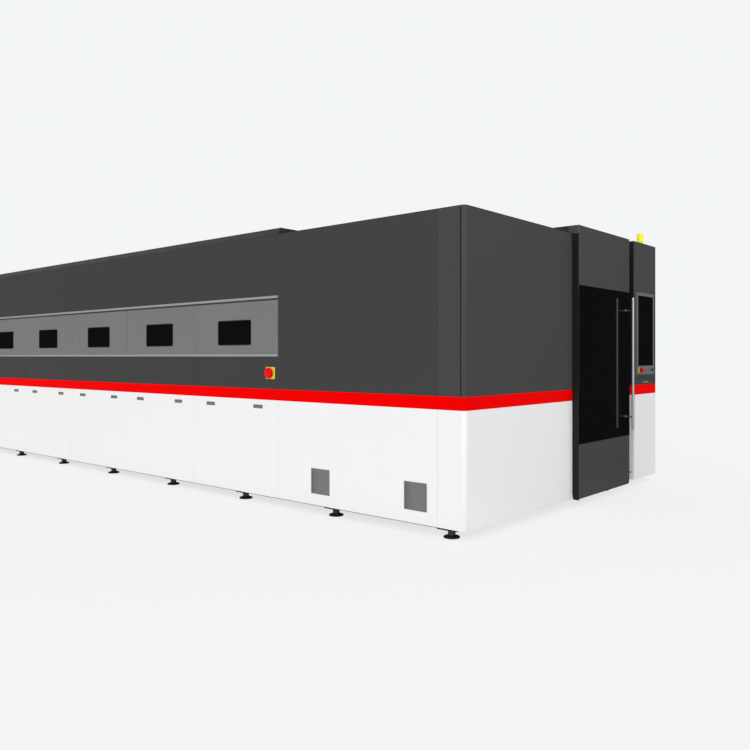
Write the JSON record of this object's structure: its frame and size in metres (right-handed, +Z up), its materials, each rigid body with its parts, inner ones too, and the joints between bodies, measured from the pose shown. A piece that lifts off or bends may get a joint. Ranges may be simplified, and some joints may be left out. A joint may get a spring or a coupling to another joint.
{
  "type": "fiber laser cutting machine",
  "caption": "Enclosed sheet cutting machine: laser head on a gantry, windowed hall, sliding end door, operator console and a pallet that slides out at the rear.",
  "frame": {"origin": "middle of the whole object's base, on the floor under its box", "axes": "+X along the machine towards the operator's end, -Y towards the windowed long side, +Z up"},
  "size_m": [9.62, 3.555, 2.53],
  "materials": {
    "charcoal_panel": "gloss powder coat, charcoal",
    "white_panel": "gloss powder coat, white",
    "red_stripe": "gloss powder coat, red",
    "grey_band": "satin paint, mid grey",
    "bright_trim": "satin anodised",
    "dark_glass": "black laser safety glass",
    "door_paint": "gloss powder coat, charcoal",
    "frame_paint": "satin black paint",
    "foot_rubber": "black moulded pad",
    "pull_plastic": "moulded grey",
    "vent_mesh": "grey mesh",
    "stainless": "satin stainless",
    "bezel": "satin grey",
    "screen": "black glossy screen",
    "stop_red": "red moulded",
    "stop_yellow": "yellow moulded",
    "beacon_yellow": "yellow lens",
    "button_grey": "grey moulded",
    "black_plastic": "black moulded",
    "machined_steel": "ground steel",
    "machine_paint": "grey machine paint",
    "head_alloy": "anodised"
  },
  "bodies": {
    "machine": {"back_panels_lower": "white_panel", "back_panels_upper": "charcoal_panel", "band_trims": "bright_trim", "base_frame": "frame_paint", "beacon": "beacon_yellow", "bed_beams": "machine_paint", "block_cover_lower": "white_panel", "block_cover_upper": "charcoal_panel", "console_cabinet": "charcoal_panel", "console_lower": "white_panel", "cover_pulls": "pull_plastic", "door_carriages": "machined_steel", "door_hood": "charcoal_panel", "drawer_runners": "frame_paint", "enclosure_frame": "frame_paint", "end_cover_lower": "white_panel", "end_cover_upper": "charcoal_panel", "equipment_cabinets": "machine_paint", "floor_plates": "frame_paint", "inner_walls": "charcoal_panel", "levelling_feet": "foot_rubber", "lower_cover_1": "white_panel", "lower_cover_2": "white_panel", "lower_cover_3": "white_panel", "lower_cover_4": "white_panel", "lower_cover_5": "white_panel", "lower_cover_6": "white_panel", "pallet_tracks": "machined_steel", "rear_cover_lower": "white_panel", "rear_cover_upper": "charcoal_panel", "red_stripe": "red_stripe", "roof_sheets": "charcoal_panel", "screen_bezel": "bezel", "screen_glass": "screen", "side_stop_plate": "stop_yellow", "slag_trough": "machined_steel", "upper_panels": "charcoal_panel", "vent_grilles": "vent_mesh", "waist_panels": "charcoal_panel", "window_panels": "grey_band", "window_panes": "dark_glass", "x_rails": "machined_steel"},
    "door": {"door_leaf": "door_paint", "door_glass": "dark_glass", "door_handle": "stainless", "door_rail": "machined_steel"},
    "gantry": {"gantry_beam": "machine_paint", "gantry_saddles": "machine_paint", "cross_rails": "machined_steel"},
    "carriage": {"cross_carriage": "machine_paint"},
    "head": {"cutting_head": "head_alloy"},
    "pallet": {"pallet_frame": "machine_paint", "pallet_slats": "machined_steel"},
    "side_stop": {"side_stop_button": "stop_red"},
    "console_stop": {"console_stop_button": "stop_red"},
    "start": {"start_button": "button_grey"},
    "reset": {"reset_button": "button_grey"},
    "key": {"key_switch": "black_plastic"},
    "drawer": {"keyboard_drawer": "door_paint", "keyboard": "black_plastic"}
  },
  "joints": [
    {"name": "door_slide", "type": "slide", "parent": "machine", "child": "door", "axis": [0, -1, 0], "range_m": [0, 0.84]},
    {"name": "gantry_slide", "type": "slide", "parent": "machine", "child": "gantry", "axis": [-1, 0, 0], "range_m": [0, 6.3]},
    {"name": "cross_slide", "type": "slide", "parent": "gantry", "child": "carriage", "axis": [0, 1, 0], "range_m": [0, 1.915]},
    {"name": "head_slide", "type": "slide", "parent": "carriage", "child": "head", "axis": [0, 0, -1], "range_m": [0, 0.12]},
    {"name": "pallet_slide", "type": "slide", "parent": "machine", "child": "pallet", "axis": [-1, 0, 0], "range_m": [0, 6.1]},
    {"name": "side_stop_push", "type": "slide", "parent": "machine", "child": "side_stop", "axis": [0, 1, 0], "range_m": [0, 0.006], "stiffness_N_per_m": 2500},
    {"name": "console_stop_push", "type": "slide", "parent": "machine", "child": "console_stop", "axis": [-1, 0, 0], "range_m": [0, 0.005], "stiffness_N_per_m": 2500},
    {"name": "start_push", "type": "slide", "parent": "machine", "child": "start", "axis": [-1, 0, 0], "range_m": [0, 0.003], "stiffness_N_per_m": 1500},
    {"name": "reset_push", "type": "slide", "parent": "machine", "child": "reset", "axis": [-1, 0, 0], "range_m": [0, 0.003], "stiffness_N_per_m": 1500},
    {"name": "key_turn", "type": "hinge", "parent": "machine", "child": "key", "pos_m": [4.674, 1.6545, 1.146], "axis": [1, 0, 0], "range_deg": [0, 90]},
    {"name": "drawer_slide", "type": "slide", "parent": "machine", "child": "drawer", "axis": [1, 0, 0], "range_m": [0, 0.28]}
  ]
}
